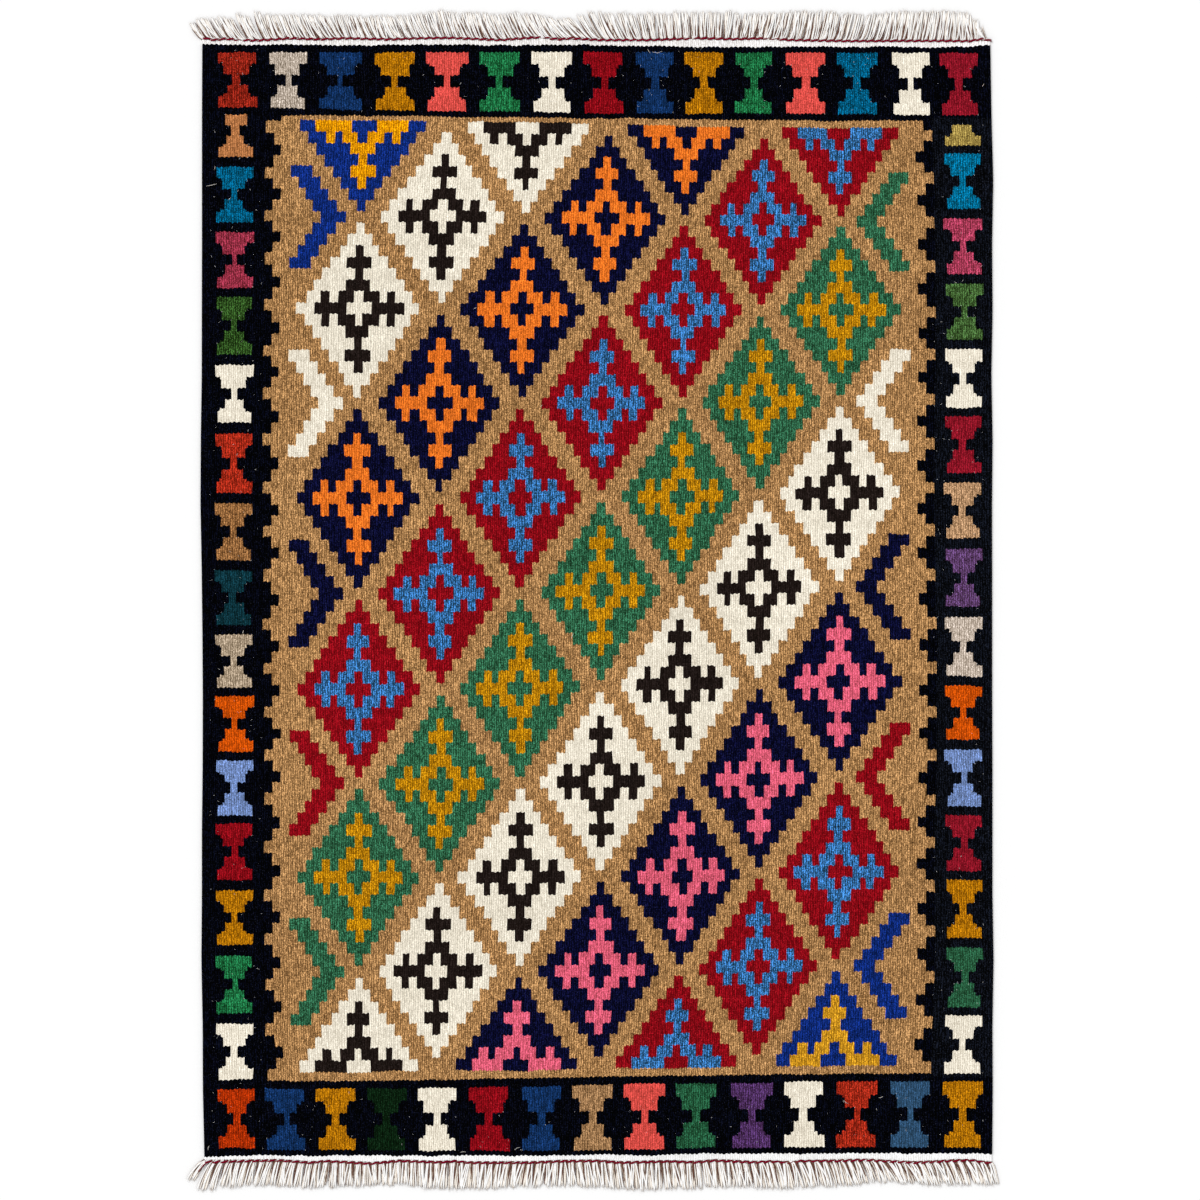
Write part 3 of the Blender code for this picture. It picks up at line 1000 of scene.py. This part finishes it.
class Yarns:
    """Many yarns joined in one mesh."""

    def __init__(self):
        self.points, self.faces = [], []
        self.crown, self.depth = [], []

    def add(self, route, radii, sides=6, ply=0.0, turns=0.0, depth=0.0):
        """A yarn along a route. Its section has two lobes where ply is over 0, and twists."""
        route = np.asarray(route, float)
        along = np.gradient(route, axis=0)
        along /= np.linalg.norm(along, axis=1)[:, None]
        sideways = np.cross(along, (0, 0, 1))
        sideways /= np.linalg.norm(sideways, axis=1)[:, None]
        rise = np.cross(sideways, along)
        angle = np.arange(sides) * 2 * math.pi / sides
        share = np.linspace(0, 1, len(route))[:, None]
        swell = 1 + ply * np.cos(2 * (angle - 2 * math.pi * turns * share))
        reach = (np.asarray(radii)[:, None] * swell)[..., None]
        cosine, sine = np.cos(angle)[None, :, None], np.sin(angle)[None, :, None]
        rings = route[:, None] + reach * (cosine * sideways[:, None] + sine * rise[:, None])
        start = len(self.points)
        self.points += rings.reshape(-1, 3).tolist()
        self.crown += np.tile(np.sin(angle), len(route)).tolist()
        self.depth += [depth] * (len(route) * sides)
        for ring in range(len(route) - 1):
            base = start + ring * sides
            for i in range(sides):
                j = (i + 1) % sides
                self.faces.append((base + i, base + i + sides, base + j + sides, base + j))
        self.faces.append(tuple(start + i for i in range(sides)))
        last = start + (len(route) - 1) * sides
        self.faces.append(tuple(last + i for i in reversed(range(sides))))

    def piece(self, name, material, slot):
        made = make_piece(name, self.points, self.faces, material)
        for attribute, values in (("crown", self.crown), ("depth", self.depth)):
            made.data.attributes.new(attribute, "FLOAT", "POINT").data.foreach_set("value", values)
        return made


def lock_tips(end):
    """The middle of each packed lock's tip, from west to east."""
    points = packed_points(f"end_fringe_{end}")
    tips = points[np.abs(points[:, 2] - TIP_HEIGHT) < 0.05]
    tips = tips[np.argsort(tips[:, 0])][:, :2]
    return tips.reshape(-1, 2, 2).mean(axis=1)


def end_span(end):
    """The x of the cloth's west and east edges where a fringe begins."""
    return [np.interp(OUTWARD[end] * FRINGE_LINE, *OUTLINE[side]) for side in ("west", "east")]


def build_fringe(end, material):
    """Warp ends past one end of the cloth, gathered by the twining and fanning out from it."""
    dice = random.Random(f"fringe {end}")
    out = OUTWARD[end]
    west, east = end_span(end)
    pitch = (east - west) / LOCKS
    yarns = Yarns()
    for lock, tip in enumerate(lock_tips(end)):
        tip_x, tip_y = tip + STRAY_TIPS[end].get(lock, (0, 0))
        root = west + (lock + 0.5) * pitch
        edge = float(np.interp(root, *OUTLINE[end]))
        lean = tip_x - root + float(np.interp(root, *zip(*SWEEP[end])))
        reach = out * (tip_y - edge)
        for kind, (count, *measures) in STRANDS[end].items():
            for strand in range(count):
                place = 2 * (strand + 0.5) / count - 1
                if kind == "seam":
                    place = (-1.0, dice.uniform(*SEAM_PLACES))[strand]
                add_strand(yarns, dice, kind, measures, place, (root, edge), lean, reach, out)
    made = yarns.piece(f"fringe_yarns_{end}", material, "cotton_fringe")
    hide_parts(f"end_fringe_{end}")
    return made


def add_strand(yarns, dice, kind, measures, place, start, lean, reach, out):
    """A strand of a lock. Its place is a share of the spread, from west to east."""
    spread, radius, height, stray, darkness = measures
    shares = np.linspace(0, 1, YARN_RINGS + 1)
    length = reach + dice.uniform(-2.5, 1.8)
    if kind in SHADOW_STRANDS:
        length *= dice.uniform(*SHADOW_LENGTHS)
    bend = dice.uniform(*(EARLY_BEND if abs(lean) > STRONG_LEAN else LATE_BEND))
    fan = spread * place + dice.uniform(-0.4, 0.4)
    aside = dice.uniform(-stray, stray)
    sway = dice.uniform(-0.6, 0.6)
    phase = dice.uniform(0, 2 * math.pi)
    away = 0.1 + shares * (length - 0.1)
    draw, draw_at, draw_over = GATHER
    gather = 1 - (0 if kind == "seam" else draw) * np.exp(-((away - draw_at) / draw_over) ** 2)
    wave = sway * np.sin(5 * shares + phase) * shares
    x = start[0] + fan * gather + lean * (length / reach) * shares ** bend + aside * shares + wave
    y = start[1] + out * away
    # It climbs from the floor near its root, and its tip sinks again.
    climb = np.clip(away / 6, 0.25, 1)
    z = radius + (height - radius) * climb + dice.uniform(0, 0.35) * climb
    z -= (z - radius) * 0.4 * np.clip((shares - 0.6) / 0.4, 0, 1)
    route = np.stack((x, y, z), axis=1)
    radii = radius * (1 - 0.45 * np.clip((shares - 0.75) / 0.25, 0, 1) ** 2)
    if kind == "seam":
        radii = radii * dice.uniform(*SEAM_THICKNESS) * (1.2 - 0.75 * shares)
    # Painted shade: the darkness darkens the whole yarn, most for the seam and line strands that
    # stand in for the shadows between locks. Below zero it is a painted highlight on the top
    # strands.
    tone = darkness + dice.uniform(-0.08, 0.08)
    yarns.add(route, radii, ply=0.14, turns=length / 9, depth=tone)
    if kind not in SHADOW_STRANDS:
        add_frays(yarns, dice, route)


def add_frays(yarns, dice, route, count=2):
    """Loose fibres that spray from a yarn's tip."""
    tip, before = route[-1], route[-2]
    along = (tip - before) / np.linalg.norm(tip - before)
    for _ in range(count):
        start = tip - along * dice.uniform(0.5, 2.0)
        reach = dice.uniform(1.5, 4.2)
        aside = np.array((-along[1], along[0], 0)) * dice.uniform(-0.6, 0.6)
        middle = start + (along + aside * 0.5) * reach * 0.5
        finish = start + (along + aside) * reach
        fibre = np.array((start, middle, finish))
        fibre[:, 2] = np.clip(fibre[:, 2], 0.4, None)
        yarns.add(fibre, radii=(0.24, 0.17, 0.08), sides=3, depth=-0.3)


def build_twining(end, material):
    """Two crimson plies wound round each other across the fringe, half a turn to a lock."""
    dice = np.random.default_rng([TWINE_SEED[end], LOCKS])
    west, east = end_span(end)
    locks = np.linspace(0, LOCKS, LOCKS * 8 + 1)
    x = west + TWINE_INSET + (east + TWINE_PAST[end] - west - 2 * TWINE_INSET) * (locks / LOCKS)
    y = across(TWINING_LINES[end])(x)
    gaps = [np.exp(-((x - gap) / GAP_WIDTH) ** 2) for gap in TWINE_GAPS[end]]
    hidden = np.array(gaps).max(axis=0)
    yarns = Yarns()
    for ply in (0, 1):
        turn = math.pi * (locks + ply)
        vigour = np.interp(locks, np.arange(LOCKS + 1), dice.uniform(*TWINE_VIGOUR, LOCKS + 1))
        sideways, rise = -TWINE_PLY_RADIUS * np.cos(turn), TWINE_PLY_RADIUS * np.sin(turn)
        swell = TWINE_SWELL * np.clip(np.sin(turn), 0, 1) ** 0.6
        route = np.stack((x, y + sideways, TWINE_HEIGHT + rise - GAP_DROP * hidden), axis=1)
        yarns.add(route, (TWINE_RADIUS + swell * vigour) * (1 - GAP_THINNING * hidden))
    if end == "south":
        yarns.add(TWINING_TAIL, (0.9, 0.85, 0.75, 0.4), depth=-0.2)
    made = yarns.piece(f"twining_yarn_{end}", material, "twined_yarn")
    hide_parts(f"twining_{end}")
    return made


def build_loose_ends(corners, material):
    """Ends of white warp at the slits of the weave, and stray fibres on the cloth."""
    dice = random.Random("loose ends")
    yarns = Yarns()

    def lay(x, y, length, turn, radius, depth=0.0):
        along = np.array((math.cos(turn), math.sin(turn), 0)) * length / 2
        bow = np.array((-along[1], along[0], 0)) * dice.uniform(-0.3, 0.3)
        middle = np.array((x, y, CREST + 0.15))
        bent = (middle - along, middle + bow, middle + along)
        yarns.add(bent, (radius * 0.6, radius, radius * 0.6), 4, depth=depth)

    for x, y, length, direction in LOOSE_ENDS:
        lay(x, y, length, math.radians(direction), LOOSE_RADIUS)
    for row, warp in corners:
        if dice.random() < SLIT_SHARE:
            x, y = row.lie(np.array([warp]), True)
            length, turn = dice.uniform(0.8, 1.3), dice.uniform(1.2, 1.9)
            lay(x[0], y[0], length, turn, LOOSE_RADIUS, PALE_DEPTH)
    laid = 0
    while laid < SPECKS:
        x, y = (dice.uniform(-half, half) for half in SPECK_AREA)
        if abs(x) > CLEAN_AREA[0] or abs(y) > CLEAN_AREA[1]:
            length, turn = dice.uniform(0.8, 3.2), dice.uniform(0, math.pi)
            lay(x, y, length, turn, radius=dice.uniform(0.06, 0.15), depth=PALE_DEPTH)
            laid += 1
    return yarns.piece("loose_ends", material, "cotton_fringe")


# ---- Stage


def build_floor():
    """A wide, plain, almost white floor."""
    half = FLOOR_SIZE / 2
    mesh = bpy.data.meshes.new("floor")
    drop = -FLOOR_DROP * MM
    corners = [(x * half, y * half, drop) for x, y in ((-1, -1), (1, -1), (1, 1), (-1, 1))]
    mesh.from_pydata(corners, [], [(0, 1, 2, 3)])
    material, tree, shader = new_material("pale_floor", 0.95, 0.0)
    shader.inputs["Base Color"].default_value = (0.93, 0.93, 0.93, 1)
    mesh.materials.append(material)
    floor = stand("floor", mesh)
    return floor


def build_light():
    """An even white sky, and one broad soft lamp from the upper left."""
    world = bpy.data.worlds.new("soft_sky")
    bpy.context.scene.world = world
    world.use_nodes = True
    sky = world.node_tree.nodes["Background"]
    sky.inputs["Color"].default_value = (1.0, 1.0, 1.0, 1)
    sky.inputs["Strength"].default_value = 0.81
    lamp = bpy.data.lights.new("lamp", "SUN")
    lamp.energy = 1.18
    lamp.angle = math.radians(25)
    stand("lamp", lamp).rotation_euler = (math.radians(-28), math.radians(-34), 0)


def build_camera():
    camera = bpy.data.cameras.new("camera")
    camera.sensor_width = SENSOR
    camera.lens = SENSOR * CAMERA_HEIGHT / VIEW_WIDTH
    camera.clip_start, camera.clip_end = 0.1, 200.0
    holder = stand("camera", camera)
    holder.location = (HOME.x + VIEW_MIDDLE_X * MM, HOME.y, CAMERA_HEIGHT)
    bpy.context.scene.camera = holder
    bpy.context.scene.view_settings.view_transform = "Standard"


def main():
    floor = build_floor()
    build_light()
    build_camera()

    corners = []
    patches = all_patches(corners)
    wool = wool_material()
    cloth = build_cloth("kilim_cloth", patches, warp_list(), True, wool)
    back = build_cloth("kilim_back", patches, coarse_warps(patches), False, wool)
    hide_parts("kilim_body")

    cotton = yarn_material("cotton_yarn", COTTON_STOPS, 0.05)
    crimson = yarn_material("crimson_yarn", CRIMSON_STOPS, 0.06)
    trims = [back, build_loose_ends(corners, cotton)]
    for end in OUTWARD:
        trims += [build_fringe(end, cotton), build_twining(end, crimson)]


main()
